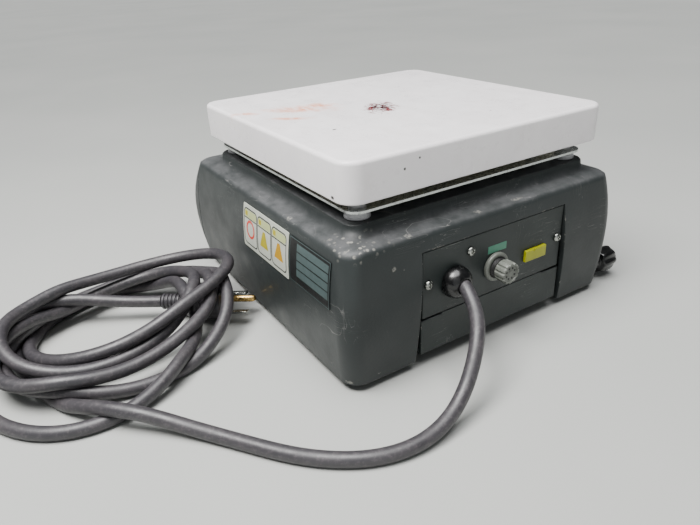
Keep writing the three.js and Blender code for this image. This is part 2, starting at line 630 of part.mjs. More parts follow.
const PIN = { length: 20.6, radius: 2.4, offset: 11.9 };

function coilSolid(grow) {
  const wide = COIL.halfX + grow;
  const low = -grow;
  const high = COIL.height + grow;
  const inner = COIL.halfX - COIL.band - grow;
  const chamfer = 9;
  const profile = [[inner + 4, low], [wide - 2, low], [wide, chamfer], [wide, high - chamfer],
    [wide - chamfer, high], [inner + chamfer, high], [inner, high - chamfer], [inner, chamfer],
    [inner + 4, low]];
  const geometry = turned(profile, 36);
  geometry.rotateX(Math.PI / 2);
  geometry.scale(1, (COIL.halfY + grow) / wide, 1);
  geometry.translate(COIL.x, COIL.y, 0);
  return toSolid(geometry);
}

// turns a solid made along +X, with its face at the origin, to the plug's place
function placePlug(solid) {
  const degrees = 180 / Math.PI;
  return solid.rotate([PLUG.roll * degrees, 0, 0]).rotate([0, 0, PLUG.heading * degrees])
    .translate([PLUG.x, PLUG.y, PLUG.z]);
}

function buildCord() {
  const plugSpace = block([-45, -16.5, -20], [40, 16.5, 16]);
  const tunnel = plugSpace.rotate([0, 0, PLUG.heading * 180 / Math.PI]).translate([PLUG.x, PLUG.y, PLUG.z]);
  add('cord_coil', coilSolid(0).subtract(tunnel), CORD_GREY);
  const keepOut = coilSolid(GAP);
  add('cord_lead', tube(smoothPath(LEAD), CORD_D / 2, 32, 10).subtract(keepOut), CORD_GREY);
  add('cord_tail', tube(smoothPath(TAIL), CORD_D / 2, 6, 10).subtract(keepOut), CORD_GREY);

  // moulded body: ribbed sleeve, shoulder and round grip, axis along +X with the face at x = 0
  const profile = [[0, -41.6], [4.4, -41.6], [5.1, -40.6], [5.3, -29.6], [8.4, -26.6], [11.6, -21.4],
    [12.6, -13], [12.6, -1.4], [11.8, 0], [0, 0]];
  const lathe = turned(profile, 20);
  lathe.rotateZ(-Math.PI / 2);
  let body = toSolid(lathe);
  const pieces = [];
  for (const side of [1, -1]) {
    const z = side * BLADE.spacing / 2;
    const y0 = -PIN.offset / 2 - BLADE.width / 2;
    const box = (grow) => block([-4 - grow, y0 - grow, z - BLADE.thickness / 2 - grow],
      [BLADE.length + grow, y0 + BLADE.width + grow, z + BLADE.thickness / 2 + grow]);
    body = body.subtract(box(GAP));
    pieces.push([`plug_blade_${side > 0 ? 1 : 2}`, box(0)]);
  }
  const round = (grow) => turnedAt([[0, -4 - grow], [PIN.radius + grow, -4 - grow], [PIN.radius + grow, 18.6],
    [0.9, PIN.length + grow], [0, PIN.length + grow]], '+Y', [0, 0, 0], 14).rotate([0, 0, -90])
    .translate([0, PIN.offset / 2, 0]);
  body = body.subtract(round(GAP));
  pieces.push(['plug_ground_pin', round(0)]);
  add('plug_body', placePlug(body), CORD_GREY);
  for (const [name, solid] of pieces) add(name, placePlug(solid), name.includes('pin') ? BRASS : NICKEL);
}
const CORD_NODES = ['cord_coil', 'cord_lead', 'cord_tail', 'plug_body', 'plug_blade_1', 'plug_blade_2',
  'plug_ground_pin'];

buildTopPlate();
buildHeater();
buildSensor();
buildShield();
buildPosts();
buildHousing();
buildFrontBezel();
buildFrontPanel();
buildTemperatureControl();
buildLamp();
buildRocker();
buildRearPanel();
buildGland();
buildFuse();
buildRearTags();
buildSideLabels();
buildClamp();
buildBase();
buildFeet();
buildInternals();
buildCord();

// the origin is the middle of the resting face of everything but the free cord
const extent = new THREE.Box3();
for (const mesh of model.children) {
  if (!CORD_NODES.includes(mesh.name)) extent.expandByObject(mesh);
}
const middle = extent.getCenter(new THREE.Vector3());
model.position.set(-middle.x, -middle.y, -extent.min.z);

export default model;
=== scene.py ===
# Laboratory hot plate with its mains cord, dressed for its photograph view.
# Positions are written in millimetres about the centre of the top plate, z above
# the surface that the hot plate stands on; at() turns them into frame metres.
import math

import bmesh
import bpy
import numpy as np
from mathutils import Matrix, Vector


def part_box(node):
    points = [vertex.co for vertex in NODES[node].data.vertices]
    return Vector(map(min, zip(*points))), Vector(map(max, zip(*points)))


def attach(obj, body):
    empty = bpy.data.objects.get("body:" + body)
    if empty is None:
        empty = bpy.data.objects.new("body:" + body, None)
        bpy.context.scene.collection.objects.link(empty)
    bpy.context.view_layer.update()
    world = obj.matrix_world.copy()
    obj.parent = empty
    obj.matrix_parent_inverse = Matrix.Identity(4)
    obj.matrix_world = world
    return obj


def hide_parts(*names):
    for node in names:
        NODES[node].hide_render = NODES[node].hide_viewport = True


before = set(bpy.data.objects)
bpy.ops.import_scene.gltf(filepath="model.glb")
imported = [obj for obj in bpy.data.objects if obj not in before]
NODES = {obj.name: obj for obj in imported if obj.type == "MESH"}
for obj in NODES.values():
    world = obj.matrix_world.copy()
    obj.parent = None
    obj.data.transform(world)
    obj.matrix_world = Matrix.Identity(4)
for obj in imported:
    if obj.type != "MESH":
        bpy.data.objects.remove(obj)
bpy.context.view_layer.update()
scene = bpy.context.scene

plate_low, plate_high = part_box("top_plate")
CENTRE = [(plate_low[i] + plate_high[i]) / 2 for i in range(2)]
TOP = 127.5
# the moving bodies' pieces; every other piece rides on the root
BODY_OF = {
    "temperature_knob": "control_knob", "thermostat_shaft": "control_knob", "power_rocker": "rocker",
    "fuse_link": "fuse_carrier", "fuse_cap": "fuse_top", "clamp_pad": "clamp_tip",
    "clamp_screw": "clamp_spindle", "clamp_knob": "clamp_spindle",
}


def at(x, y, z):
    return Vector((CENTRE[0] + x / 1000, CENTRE[1] + y / 1000, z / 1000))


# ---------------------------------------------------------------- camera
def make_camera():
    data = bpy.data.cameras.new("photo_view")
    data.sensor_width = 36
    data.lens = 30.43
    data.clip_start = 0.01
    camera = bpy.data.objects.new("photo_view", data)
    camera.location = at(232.1, 321.4, 210.6)
    camera.rotation_euler = [math.radians(a) for a in (63.149, 2.641, 147.398)]
    scene.collection.objects.link(camera)
    scene.camera = camera


# ---------------------------------------------------------------- mains cord
CORD_D = 7.9
# from inside the gland, down to the floor, round the rear corner and under the coil
LEAD = [[32.6, 108, 49.6], [32.6, 113.3, 49.6], [32.7, 116.6, 49.2], [33.8, 121.8, 47.2], [36.4, 127.4, 43.4],
        [41.2, 133, 37.6], [47.8, 139.2, 30], [56.2, 144.8, 21.2], [66.4, 149.6, 13.2], [78.4, 153.2, 7.4],
        [91, 155, 4.9], [104.6, 154.4, 4.2], [118, 150.6, 4.1], [130, 144, 4.1], [141.5, 134.8, 4.1],
        [151, 125, 4.1], [160, 113, 4.1], [168, 102, 4.2], [176.6, 90.6, 4.6], [186.6, 79, 6.4],
        [196, 69, 9.4], [206, 59.4, 11.6], [216, 49.4, 12], [225.6, 37.4, 10], [235, 22, 6.6],
        [243.6, 3, 4.3]]
# each loose turn by its four outermost points: +X, -Y, -X and +Y
TURNS = [[(256, -44, 4), (166, -108, 4), (121, -14, 25), (192, 33, 4)],
         [(264, -24, 12), (170, -90, 14), (127, -20, 26), (222, 26, 11)],
         [(269, -20, 17), (162, -83, 17), (135, -26, 30), (210, 10, 10)],
         [(264, -36, 22), (160, -82, 25), (108, -31, 37), (202, 7, 19)],
         [(249, -44, 11), (186, -99, 4), (142, -32, 17), (224, 52, 4)]]
LAST = (280, -32, 4)
TAIL = [[273, -59, 7], [258, -74, 14], [239, -78, 20], [220, -74.5, 20.5], [204, -68, 17.4],
        [190, -61, 14.6], [178, -53, 13.6], [169.6, -47.1, 13.4], [161.4, -41.3, 13.4]]
PLUG = (127.1, -16.8, 13.4)
PLUG_HEADING = 2.522
PLUG_ROLL = -0.3
# how far the cord keeps from the plug's axis, by distance behind its face
PLUG_SHAPE = [(-16, 7.2), (0, 12.6), (13, 12.6), (21.4, 11.6), (28, 7.4), (30, 5.4), (42, 5.3)]


def quarter_turn(a, b, leaves_along_y, steps=6):
    points = []
    for i in range(steps):
        part = i / steps
        t = part * math.pi / 2
        if leaves_along_y:
            x = b[0] + (a[0] - b[0]) * math.cos(t)
            y = a[1] + (b[1] - a[1]) * math.sin(t)
        else:
            x = a[0] + (b[0] - a[0]) * math.sin(t)
            y = b[1] + (a[1] - b[1]) * math.cos(t)
        rise = part * part * (3 - 2 * part)
        points.append([x, y, a[2] + (b[2] - a[2]) * rise])
    return points


def catmull_rom(points, per_span=8):
    points = np.array(points, float)
    padded = np.vstack([2 * points[0] - points[1], points, 2 * points[-1] - points[-2]])
    curve = []
    for i in range(1, len(padded) - 2):
        p0, p1, p2, p3 = padded[i - 1:i + 3]
        t0 = 0.0
        t1 = t0 + np.linalg.norm(p1 - p0) ** 0.5
        t2 = t1 + np.linalg.norm(p2 - p1) ** 0.5
        t3 = t2 + np.linalg.norm(p3 - p2) ** 0.5
        for t in np.linspace(t1, t2, per_span, endpoint=False):
            a1 = (t1 - t) / (t1 - t0) * p0 + (t - t0) / (t1 - t0) * p1
            a2 = (t2 - t) / (t2 - t1) * p1 + (t - t1) / (t2 - t1) * p2
            a3 = (t3 - t) / (t3 - t2) * p2 + (t - t2) / (t3 - t2) * p3
            b1 = (t2 - t) / (t2 - t0) * a1 + (t - t0) / (t2 - t0) * a2
            b2 = (t3 - t) / (t3 - t1) * a2 + (t - t1) / (t3 - t1) * a3
            curve.append((t2 - t) / (t2 - t1) * b1 + (t - t1) / (t2 - t1) * b2)
    curve.append(points[-1])
    return np.array(curve)


def evenly(points, step):
    run = np.concatenate([[0], np.cumsum(np.linalg.norm(np.diff(points, axis=0), axis=1))])
    count = int(round(run[-1] / step))
    at_run = np.linspace(0, run[-1], count + 1)
    return np.stack([np.interp(at_run, run, points[:, k]) for k in range(3)], 1)


def clear_of_plug(nodes, radius):
    axis = -np.array([math.cos(PLUG_HEADING), math.sin(PLUG_HEADING), 0.0])
    away = nodes - np.array(PLUG)
    along = away @ axis
    radial = away - np.outer(along, axis)
    gap = np.linalg.norm(radial, axis=1)
    need = np.interp(along, [a for a, _ in PLUG_SHAPE], [b for _, b in PLUG_SHAPE]) + radius + 0.3
    close = (along > PLUG_SHAPE[0][0]) & (along < PLUG_SHAPE[-1][0]) & (gap < need)
    push = radial.copy()
    push[:, 2] = np.maximum(push[:, 2], 0.5 * gap)
    push /= np.linalg.norm(push, axis=1)[:, None] + 1e-9
    moved = nodes.copy()
    moved[close] += push[close] * (need - gap)[close][:, None] * 0.6
    return moved


def spread_along(values, reach=7, width=3.2):
    """Shares a push on one node with its neighbours, so that a crossing makes a long low hump."""
    steps = np.arange(-reach, reach + 1)
    kernel = np.exp(-0.5 * (steps / width) ** 2)
    kernel /= kernel.sum()
    return np.stack([np.convolve(column, kernel, "same") for column in values.T], 1)


def settle(points, rounds=520, step=5.0, fixed_head=2, fixed_tail=3, tightest=46):
    """Lets the laid cord sink on itself: strands stay a diameter apart and no bend gets tight."""
    radius = CORD_D / 2
    start = evenly(points, step)
    nodes = start.copy()
    count = len(nodes)
    i, j = np.triu_indices(count, 6)
    near = ((start[j] - start[i])[:, :2] ** 2).sum(1) < 30 ** 2
    i, j = i[near], j[near]
    rise = start[j, 2] - start[i, 2]
    order = np.where(np.abs(rise) > 1.0, np.sign(rise), 1.0)
    free = np.ones((count, 1))
    free[:fixed_head] = 0
    free[count - fixed_tail:] = 0
    hold = np.full((count, 1), 0.016)
    hold[:62] = 0.2
    for turn in range(rounds):
        new = nodes.copy()
        new[:, 2] -= 0.02
        new[:, :2] += (hold * (start - nodes))[:, :2]
        new[:, 2] += (hold[:, 0] * 0.6) * (start - nodes)[:, 2]
        for reach in (1, 2, 3, 4, 6, 8, 10):
            bend = new[reach:-reach] - 0.5 * (new[:-2 * reach] + new[2 * reach:])
            size = np.linalg.norm(bend, axis=1)
            allowed = (reach * step) ** 2 / (2 * tightest)
            excess = bend * (np.maximum(0, size - allowed) / np.maximum(size, 1e-9) * 0.4)[:, None]
            new[reach:-reach] -= excess
            new[:-2 * reach] += 0.5 * excess
            new[2 * reach:] += 0.5 * excess
        smooth = np.zeros_like(new)
        smooth[1:-1] = 0.5 * (new[:-2] + new[2:]) - new[1:-1]
        new += 0.3 * smooth
        gap = new[j] - new[i]
        flat = np.hypot(gap[:, 0], gap[:, 1])
        far = np.sqrt(flat ** 2 + gap[:, 2] ** 2)
        touching = far < 2 * radius
        crossing = touching & (flat < 1.5 * radius)
        need = np.sqrt(np.maximum((2 * radius) ** 2 - flat ** 2, 0)) - gap[:, 2] * order
        lift = np.where(crossing, np.clip(need, 0, 4) * 0.5, 0) * order
        push = (gap / np.maximum(far, 1e-6)[:, None]) * ((2 * radius - far) * 0.5 * (touching & ~crossing))[:, None]
        push[:, 2] += lift
        total, hits = np.zeros((count, 3)), np.zeros(count)
        np.add.at(total, j, push)
        np.add.at(total, i, -push)
        np.add.at(hits, j, touching)
        np.add.at(hits, i, touching)
        total /= np.maximum(hits, 1)[:, None]
        new += 0.7 * total + 1.4 * spread_along(total)
        new = clear_of_plug(new, radius)
        new[:, 2] = np.maximum(new[:, 2], radius)
        nodes = nodes + (new - nodes) * free
    for turn in range(3):
        smooth = np.zeros_like(nodes)
        smooth[1:-1] = 0.5 * (nodes[:-2] + nodes[2:]) - nodes[1:-1]
        nodes = nodes + 0.5 * smooth * free
    nodes[:, 2] = np.maximum(nodes[:, 2], radius)
    return nodes


def cord_line():
    anchors = [point for turn in TURNS for point in turn] + [LAST]
    coil = []
    for k in range(len(anchors) - 1):
        coil += quarter_turn(anchors[k], anchors[k + 1], k % 2 == 0)
    route = LEAD + coil + [list(LAST)] + TAIL
    return evenly(catmull_rom(settle(catmull_rom(route)), 4), 2.5)


def make_cord(finish):
    line = cord_line()
    data = bpy.data.curves.new("mains_cord", "CURVE")
    data.dimensions = "3D"
    data.bevel_depth = CORD_D / 2000
    data.bevel_resolution = 6
    data.use_fill_caps = True
    spline = data.splines.new("POLY")
    spline.points.add(len(line) - 1)
    for point, place in zip(spline.points, line):
        point.co = (*at(*place), 1)
    spline.use_smooth = True
    data.materials.append(finish.material)
    cord = bpy.data.objects.new("mains_cord", data)
    scene.collection.objects.link(cord)
    return cord, line


# ---------------------------------------------------------------- shader patterns
def linear(color):
    return [((c / 255 + 0.055) / 1.055) ** 2.4 if c > 10 else c / 255 / 12.92 for c in color] + [1.0]


class Finish:
    """A procedural material: one Principled shader with patterns measured in metres on the object."""

    def __init__(self, name, color=(128, 128, 128), roughness=0.5, metallic=0.0, **values):
        self.material = bpy.data.materials.new(name)
        self.material.use_nodes = True
        self.tree = self.material.node_tree
        self.tree.nodes.clear()
        output = self.node("ShaderNodeOutputMaterial")
        self.shader = self.node("ShaderNodeBsdfPrincipled")
        self.link(self.shader.outputs[0], output.inputs["Surface"])
        self.place = self.node("ShaderNodeTexCoord").outputs["Object"]
        self.put("Base Color", linear(color))
        self.put("Roughness", roughness)
        self.put("Metallic", metallic)
        for socket, value in values.items():
            self.put(socket.replace("_", " ").title().replace("Ior", "IOR"), value)
        self.material.diffuse_color = linear(color)

    def node(self, kind, **settings):
        made = self.tree.nodes.new(kind)
        for key, value in settings.items():
            setattr(made, key, value)
        return made

    def link(self, out, into):
        self.tree.links.new(out, into)

    def feed(self, socket, value):
        if isinstance(value, bpy.types.NodeSocket):
            self.link(value, socket)
        else:
            socket.default_value = value

    def put(self, name, value):
        self.feed(self.shader.inputs[name], value)

    def math(self, operation, a, b=0.0, clamp=False):
        made = self.node("ShaderNodeMath", operation=operation, use_clamp=clamp)
        self.feed(made.inputs[0], a)
        self.feed(made.inputs[1], b)
        return made.outputs[0]

    def spread(self, value, low, high, to_low=0.0, to_high=1.0):
        made = self.node("ShaderNodeMapRange")
        for k, item in enumerate((value, low, high, to_low, to_high)):
            self.feed(made.inputs[k], item)
        return made.outputs[0]

    def blend(self, share, a, b):
        made = self.node("ShaderNodeMix", data_type="RGBA")
        self.feed(made.inputs["Factor"], share)
        self.feed(made.inputs[6], linear(a) if isinstance(a, tuple) else a)
        self.feed(made.inputs[7], linear(b) if isinstance(b, tuple) else b)
        return made.outputs[2]

    def moved(self, stretch=(1, 1, 1), seed=0.0, turn=0.0):
        made = self.node("ShaderNodeMapping")
        self.link(self.place, made.inputs["Vector"])
        made.inputs["Scale"].default_value = stretch
        made.inputs["Rotation"].default_value = (0, 0, turn)
        made.inputs["Location"].default_value = (seed, 1.7 * seed, -0.6 * seed)
        return made.outputs[0]

    def noise(self, scale, detail=2.0, rough=0.5, stretch=(1, 1, 1), seed=0.0, turn=0.0):
        made = self.node("ShaderNodeTexNoise")
        self.link(self.moved(stretch, seed, turn), made.inputs["Vector"])
        made.inputs["Scale"].default_value = scale
        made.inputs["Detail"].default_value = detail
        made.inputs["Roughness"].default_value = rough
        return made.outputs["Fac"]

    def cells(self, scale, stretch=(1, 1, 1), seed=0.0, feature="F1", output="Distance"):
        made = self.node("ShaderNodeTexVoronoi", feature=feature)
        self.link(self.moved(stretch, seed), made.inputs["Vector"])
        made.inputs["Scale"].default_value = scale
        return made.outputs[output]

    def axis(self, name):
        made = self.node("ShaderNodeSeparateXYZ")
        self.link(self.place, made.inputs[0])
        return made.outputs[name]

    def spot(self, centre, size, turn=0.0, ragged=0.5, grain=150, seed=0.0, soft=0.45):
        """1 inside an ellipsoid of the given half sizes in mm, with a ragged edge, and 0 outside."""
        made = self.node("ShaderNodeMapping", vector_type="TEXTURE")
        self.link(self.place, made.inputs["Vector"])
        made.inputs["Location"].default_value = at(*centre)
        made.inputs["Rotation"].default_value = (0, 0, math.radians(turn))
        made.inputs["Scale"].default_value = [s / 1000 for s in size]
        length = self.node("ShaderNodeVectorMath", operation="LENGTH")
        self.link(made.outputs[0], length.inputs[0])
        wander = self.math("SUBTRACT", self.noise(grain, 4, 0.6, seed=seed), 0.5)
        edge = self.math("MULTIPLY", wander, ragged * 4)
        return self.spread(self.math("ADD", length.outputs["Value"], edge), 1.0, 1.0 - soft)

    def rounded(self, radius):
        made = self.node("ShaderNodeBevel", samples=4)
        made.inputs["Radius"].default_value = radius / 1000
        return made.outputs[0]

    def edges(self, radius, low=0.03, high=0.22):
        """1 along the piece's outer and inner edges, within the radius in mm."""
        dot = self.node("ShaderNodeVectorMath", operation="DOT_PRODUCT")
        self.link(self.rounded(radius), dot.inputs[0])
        self.link(self.node("ShaderNodeNewGeometry").outputs["Normal"], dot.inputs[1])
        return self.spread(self.math("SUBTRACT", 1.0, dot.outputs["Value"]), low, high)

    def bump(self, height, distance, strength=1.0, normal=None):
        made = self.node("ShaderNodeBump")
        made.inputs["Strength"].default_value = strength
        made.inputs["Distance"].default_value = distance / 1000
        self.link(height, made.inputs["Height"])
        if normal is not None:
            self.link(normal, made.inputs["Normal"])
        self.link(made.outputs[0], self.shader.inputs["Normal"])
        return made.outputs[0]


# ---------------------------------------------------------------- finishes
def upward(finish):
    split = finish.node("ShaderNodeSeparateXYZ")
    finish.link(finish.node("ShaderNodeNewGeometry").outputs["Normal"], split.inputs[0])
    return split.outputs["Z"]


def most(finish, masks):
    total = masks[0]
    for mask in masks[1:]:
        total = finish.math("MAXIMUM", total, mask)
    return total


def enamel_finish():
    f = Finish("white_enamel", (241, 238, 239), 0.3, specular_ior_level=0.5)
    cloud = f.spread(f.noise(22, 4, 0.6), 0.3, 0.7)
    color = f.blend(cloud, (244, 241, 242), (236, 232, 234))
    # rubbed and dusty haze on the top, and a few brown grains of use
    haze = f.math("MULTIPLY", f.spread(f.noise(60, 5, 0.7, stretch=(1, 0.35, 1), seed=3), 0.52, 0.75), 0.28)
    color = f.blend(haze, color, (214, 206, 204))
    tan = most(f, [
        f.spot((88, -38, TOP), (12, 5, 6), -38, 0.3, 160, 1, 0.9),
        f.spot((55, -25, TOP), (30, 12, 6), -38, 0.3, 140, 2, 0.9),
        f.spot((40, -26, TOP), (17, 9, 6), -38, 0.3, 150, 4, 0.8),
        f.spot((70, -5, TOP), (18, 5, 6), -38, 0.3, 120, 5, 0.9),
    ])
    grain = f.spread(f.noise(300, 4, 0.7, stretch=(1, 0.4, 1), seed=6, turn=0.9), 0.25, 0.6)
    color = f.blend(f.math("MULTIPLY", f.math("MULTIPLY", tan, grain), 0.95), color, (222, 132, 84))
    scuff = f.spot((13, 8, TOP), (19, 12, 6), 59, 0.3, 240, 7, 0.35)
    strands = f.spread(f.noise(300, 5, 0.8, stretch=(1, 0.45, 1), seed=8, turn=0.9), 0.47, 0.51)
    color = f.blend(f.math("MULTIPLY", scuff, strands), color, (112, 8, 22))
    core = f.spot((12, 7, TOP), (11, 8, 6), 59, 0.4, 320, 12, 0.5)
    specks = f.spread(f.noise(520, 4, 0.8, seed=14), 0.44, 0.52)
    color = f.blend(f.math("MULTIPLY", core, specks), color, (22, 6, 10))
    dark = most(f, [f.spot((64.5, 36, TOP), (1.7, 0.9, 2), 20, 0.3, 300),
                    f.spot((93, 88, TOP - 5), (0.8, 0.8, 1.2)),
                    f.spot((60, 95, 118), (0.7, 0.7, 0.7)), f.spot((95, 82, 107.4), (1.2, 1.6, 1)),
                    f.spot((50.5, 95, 122), (0.6, 0.6, 0.6)), f.spot((-30, 62, TOP), (0.8, 0.5, 1))])
    pits = f.math("MULTIPLY", f.spread(f.cells(55, seed=2), 0.03, 0.018), f.spread(f.noise(14, seed=4), 0.56, 0.6))
    color = f.blend(f.math("MAXIMUM", dark, f.math("MULTIPLY", pits, 0.45)), color, (30, 24, 22))
    worn = f.math("MULTIPLY", f.edges(1.2), f.spread(f.noise(120, 3, seed=9), 0.6, 0.7))
    color = f.blend(f.math("MULTIPLY", worn, 0.5), color, (150, 142, 136))
    f.put("Base Color", color)
    f.put("Roughness", f.math("ADD", f.spread(f.noise(90, 4, 0.6, seed=5), 0.3, 0.7, 0.24, 0.4),
                              f.math("MULTIPLY", tan, 0.2)))
    peel = f.math("ADD", f.noise(450, 2), f.math("MULTIPLY", f.noise(60, 2, seed=2), 1.5))
    f.bump(f.math("SUBTRACT", peel, f.math("MULTIPLY", dark, 2.0)), 0.05, 0.5, f.rounded(0.7))
    return f


def paint_finish(name, tone, chips, corner=True):
    """Grey stove enamel with orange peel, rubbed dust on what faces up, scratches and chipped edges."""
    lighter = tuple(int(c * 1.06) for c in tone)
    darker = tuple(int(c * 0.93) for c in tone)
    f = Finish(name, tone, 0.42, specular_ior_level=0.38)
    color = f.blend(f.spread(f.noise(28, 4, 0.6), 0.3, 0.7), darker, lighter)
    speckle = f.spread(f.noise(1500, 2, 0.5, seed=1), 0.35, 0.65)
    color = f.blend(f.math("MULTIPLY", speckle, 0.3), color, tuple(int(c * 1.13) for c in tone))
    patches = f.spread(f.noise(75, 5, 0.7, seed=2), 0.35, 0.75, 0.15, 0.75)
    dust = f.math("MULTIPLY", f.spread(upward(f), 0.35, 0.9), patches)
    color = f.blend(f.math("MULTIPLY", dust, 0.42), color, (146, 145, 148))
    # scratches: thin bands of stretched noise in two directions
    for turn, stretch in ((0.4, (1, 1, 14)), (1.3, (10, 1, 1.6))):
        band = f.math("ABSOLUTE", f.math("SUBTRACT", f.noise(38, 1, 0.4, stretch, seed=turn, turn=turn), 0.5))
        line = f.math("MULTIPLY", f.spread(band, 0.006, 0.001), f.spread(f.noise(30, 2, seed=7 + turn), 0.56, 0.66))
        color = f.blend(f.math("MULTIPLY", line, 0.35), color, (165, 163, 160))
    edge = f.edges(1.4)
    rub = f.math("MULTIPLY", edge, f.spread(f.noise(160, 4, 0.7, seed=3), 0.46, 0.7))
    color = f.blend(f.math("MULTIPLY", rub, 0.5), color, tuple(min(255, int(c * 1.5)) for c in tone))
    chip = f.math("MULTIPLY", edge, f.spread(f.noise(260, 3, 0.6, seed=11), chips, chips + 0.03))
    marks = [chip]
    if corner:
        # knocks at the rear corner of the shoulder and along the foot
        specks = f.spread(f.cells(300, seed=5), 0.34, 0.2)
        near = f.spot((93, 94, 84), (24, 20, 7), 0, 0.3, 60, 4, 0.8)
        marks.append(f.math("MULTIPLY", f.math("MULTIPLY", specks, near), f.spread(f.noise(170, 2, seed=6), 0.44, 0.5)))
        for place, size in (((74, 104, 70), (1.3, 2, 1.5)), ((97, 96, 84.6), (2.4, 1.6, 3)), ((68, 104, 68), (0.6, 2, 0.6)),
                            ((103, 66, 30), (2, 3.4, 1.1)), ((103, 31, 36), (2, 3.6, 1.2)), ((101, 99, 7), (3, 3, 1.2)),
                            ((62, 100, 84), (2, 2.2, 2)), ((12, 99, 84.5), (3, 1.6, 2)), ((-18, 99, 84.5), (5, 1.6, 2)),
                            ((85, 105, 9), (1.5, 2, 0.8)), ((99, 40, 84), (2.6, 2.6, 2)), ((97, 80, 84.8), (1.6, 1.4, 2))):
            broken = f.spread(f.noise(700, 3, 0.7, seed=place[0]), 0.42, 0.56)
            knock = f.spot(place, size, 0, 0.6, 420, place[0], 0.5)
            marks.append(f.math("MULTIPLY", f.math("MULTIPLY", knock, broken), 0.75))
    bare = most(f, marks)
    color = f.blend(f.math("MULTIPLY", bare, 0.8), color, (152, 150, 142))
    f.put("Base Color", color)
    f.put("Roughness", f.math("ADD", f.spread(f.noise(50, 4, 0.6, seed=8), 0.3, 0.7, 0.36, 0.5),
                              f.math("MULTIPLY", dust, 0.18)))
    peel = f.math("ADD", f.noise(620, 2, 0.5), f.math("MULTIPLY", f.noise(130, 2, seed=4), 0.8))
    f.bump(f.math("SUBTRACT", peel, bare), 0.09, 0.6, f.rounded(0.8))
    return f


def cord_finish():
    f = Finish("cord_jacket", (52, 50, 54), 0.4, specular_ior_level=0.6)
    color = f.blend(f.spread(f.noise(45, 4, 0.6), 0.3, 0.7), (45, 44, 48), (60, 57, 60))
    grime = f.spread(f.noise(90, 5, 0.7, seed=4), 0.5, 0.7)
    color = f.blend(f.math("MULTIPLY", grime, 0.35), color, (28, 28, 31))
    rubbed = f.spread(f.noise(420, 5, 0.75, seed=9), 0.5, 0.72)
    color = f.blend(f.math("MULTIPLY", rubbed, 0.45), color, (104, 98, 100))
    f.put("Base Color", color)
    f.put("Roughness", f.spread(f.noise(80, 4, 0.6, seed=2), 0.3, 0.7, 0.38, 0.55))
    f.bump(f.math("ADD", f.noise(900, 2), f.math("MULTIPLY", f.noise(110, 2, seed=3), 1.6)), 0.08, 0.5)
    return f


def metal_finish(name, tone, roughness, stretch=(1, 1, 1), bevel=0.3, grime=(70, 66, 60)):
    f = Finish(name, tone, roughness, 1.0)
    brushed = f.noise(700, 3, 0.6, stretch)
    color = f.blend(f.spread(brushed, 0.3, 0.7), tuple(int(c * 0.9) for c in tone), tone)
    dirt = f.math("MULTIPLY", f.spread(f.noise(210, 4, 0.7, seed=5), 0.52, 0.75), 0.55)
    f.put("Base Color", f.blend(dirt, color, grime))
    f.put("Roughness", f.math("ADD", f.spread(brushed, 0.2, 0.8, roughness - 0.08, roughness + 0.1),
                              f.math("MULTIPLY", dirt, 0.3)))
    f.bump(brushed, 0.02, 0.4, f.rounded(bevel))
    return f


def plastic_finish(name, tone, roughness, grain=900, depth=0.03, bevel=0.35, dusty=0.25, **values):
    f = Finish(name, tone, roughness, **values)
    fine = f.noise(grain, 2, 0.5)
    color = f.blend(f.spread(f.noise(60, 3, 0.6, seed=1), 0.3, 0.7), tone, tuple(int(c * 0.88) for c in tone))
    light = tuple(min(255, int(c * 0.6 + 80)) for c in tone)
    dust = f.math("MULTIPLY", f.spread(f.noise(260, 4, 0.75, seed=2), 0.52, 0.72), dusty)
    color = f.blend(f.math("MULTIPLY", dust, f.spread(upward(f), -0.2, 0.9, 0.35, 1.0)), color, light)
    color = f.blend(f.math("MULTIPLY", f.edges(0.5), 0.25), color, light)
    f.put("Base Color", color)
    polish = f.spread(f.noise(150, 3, seed=3), 0.3, 0.7, roughness - 0.05, roughness + 0.06)
    f.put("Roughness", f.math("ADD", polish, dust))
    f.bump(fine, depth, 0.5, f.rounded(bevel))
    return f


def rubber_finish():
    return plastic_finish("foot_rubber", (34, 33, 34), 0.78, 1300, 0.06, 0.4, 0.4)


def fibre_finish():
    f = Finish("mineral_pad", (210, 204, 188), 0.95)
    fibre = f.noise(260, 6, 0.75, stretch=(1, 3, 5))
    f.put("Base Color", f.blend(f.spread(fibre, 0.3, 0.7), (186, 178, 160), (224, 219, 206)))
    f.bump(fibre, 0.6, 0.8)
    return f


def ceramic_finish():
    f = Finish("standoff_ceramic", (176, 176, 178), 0.42)
    turned = f.noise(90, 3, 0.6, stretch=(1, 1, 18))
    color = f.blend(f.spread(turned, 0.35, 0.7), (182, 182, 184), (152, 152, 156))
    grime = f.spread(f.noise(240, 4, 0.7, seed=3), 0.55, 0.75)
    f.put("Base Color", f.blend(f.math("MULTIPLY", grime, 0.4), color, (92, 88, 84)))
    f.bump(turned, 0.06, 0.5, f.rounded(0.35))
    return f


def board_finish():
    f = Finish("circuit_board", (38, 92, 56), 0.45, coat_weight=0.3)
    tracks = f.spread(f.cells(130, stretch=(1, 1, 0), feature="DISTANCE_TO_EDGE"), 0.02, 0.05)
    color = f.blend(tracks, (92, 128, 70), (30, 82, 48))
    solder = f.spread(f.cells(240, seed=3), 0.22, 0.16)
    f.put("Base Color", f.blend(solder, color, (170, 170, 165)))
    f.bump(tracks, 0.05, 0.5)
    return f


